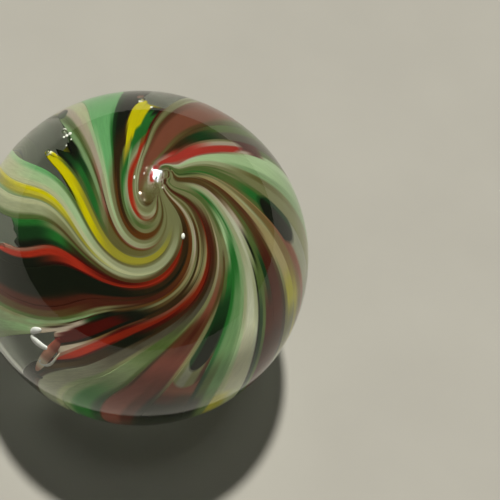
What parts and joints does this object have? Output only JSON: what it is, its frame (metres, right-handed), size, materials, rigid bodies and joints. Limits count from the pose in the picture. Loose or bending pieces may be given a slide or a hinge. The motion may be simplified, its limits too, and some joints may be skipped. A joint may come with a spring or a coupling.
{
  "type": "glass marble",
  "caption": "Ball of clear glass with a swirl of coloured glass ribbons under its skin, drawn together at one pole and running down the sides.",
  "frame": {"origin": "centre of the ball", "axes": "+Z through the pole where the ribbons meet and the ball left its rod, +X to the right and -Y towards the viewer as the picture shows it"},
  "size_m": [0.042, 0.042, 0.0419],
  "materials": {
    "clear_glass": "fire-polished clear glass",
    "white_glass": "milky grey-white opal glass",
    "green_glass": "cloudy mid-green glass",
    "yellow_glass": "opaque yellow glass",
    "red_glass": "opaque red glass",
    "brown_glass": "opaque brown-red glass",
    "dark_glass": "black-green glass"
  },
  "bodies": {
    "root": {"clear_glass": "clear_glass", "white_ribbons": "white_glass", "green_ribbons": "green_glass", "yellow_ribbons": "yellow_glass", "red_ribbons": "red_glass", "brown_ribbons": "brown_glass", "dark_ribbons": "dark_glass"}
  },
  "joints": []
}
